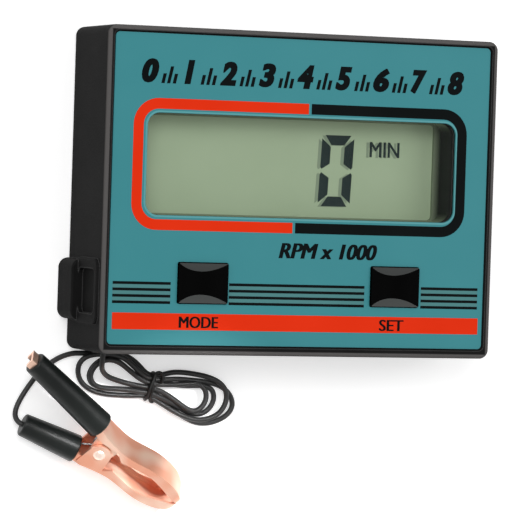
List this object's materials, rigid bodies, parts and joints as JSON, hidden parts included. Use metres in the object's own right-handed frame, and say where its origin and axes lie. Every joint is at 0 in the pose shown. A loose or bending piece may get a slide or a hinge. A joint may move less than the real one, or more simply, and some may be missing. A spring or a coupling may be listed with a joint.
{
  "type": "engine tachometer",
  "caption": "Flat engine tachometer with a liquid crystal display, two keys, a printed face, and a thin pick-up lead in a tied hank that ends in a spring clip.",
  "frame": {"origin": "centre of the housing's rear face, on the surface it lies on", "axes": "+X along the face to the reader's right, +Y up the face, +Z out of the face"},
  "size_m": [0.1143, 0.1151, 0.0252],
  "materials": {
    "housing": "fine moulded texture",
    "rear_cover": "fine moulded texture",
    "seal": "matt",
    "screws": "plated",
    "overlay": "printed film, satin",
    "lens": "polished",
    "display_frame": "matt",
    "display": "satin",
    "reflector": "matt",
    "contact_strips": "matt",
    "board": "solder mask",
    "chip": "matt",
    "crystal_can": "plain",
    "cell_holder": "matt",
    "cell": "plain",
    "gland": "matt",
    "lead": "satin",
    "tie": "matt",
    "keys": "satin",
    "switches": "matt",
    "clip_metal": "copper plated",
    "spring_steel": "plated wire",
    "grips": "soft vinyl"
  },
  "bodies": {
    "root": {"front_case": "housing", "rear_cover": "rear_cover", "case_seal": "seal", "case_screws": "screws", "face_overlay": "overlay", "window_lens": "lens", "display_bezel": "display_frame", "display_glass": "display", "display_reflector": "reflector", "contact_strips": "contact_strips", "circuit_board": "board", "board_screws": "screws", "controller_chip": "chip", "timing_crystal": "crystal_can", "cell_holder": "cell_holder", "coin_cell": "cell", "lead_gland": "gland", "lead_tail": "lead", "lead_to_hank": "lead", "lead_hank": "lead", "hank_tie": "tie", "lead_to_clip": "lead", "mode_switch": "switches", "set_switch": "switches", "clip_lower_arm": "clip_metal", "clip_rivet": "clip_metal", "clip_spring": "spring_steel", "lower_grip": "grips"},
    "mode_key": {"mode_button": "keys", "mode_plunger": "switches"},
    "set_key": {"set_button": "keys", "set_plunger": "switches"},
    "clip_jaw": {"clip_upper_arm": "clip_metal", "upper_grip": "grips"}
  },
  "joints": [
    {"name": "mode_press", "type": "slide", "parent": "root", "child": "mode_key", "axis": [0, 0, -1], "range_m": [0, 0.0008], "stiffness_N_per_m": 1200, "springref_m": -0.0003},
    {"name": "set_press", "type": "slide", "parent": "root", "child": "set_key", "axis": [0, 0, -1], "range_m": [0, 0.0008], "stiffness_N_per_m": 1200, "springref_m": -0.0003},
    {"name": "clip_open", "type": "hinge", "parent": "root", "child": "clip_jaw", "pos_m": [-0.04275, -0.0612, 0.00689], "axis": [-0.3142, -0.5613, 0.7656], "range_deg": [0, 24], "stiffness_Nm_per_rad": 0.05, "springref_deg": -17.19, "deforming": ["clip_spring"]}
  ]
}
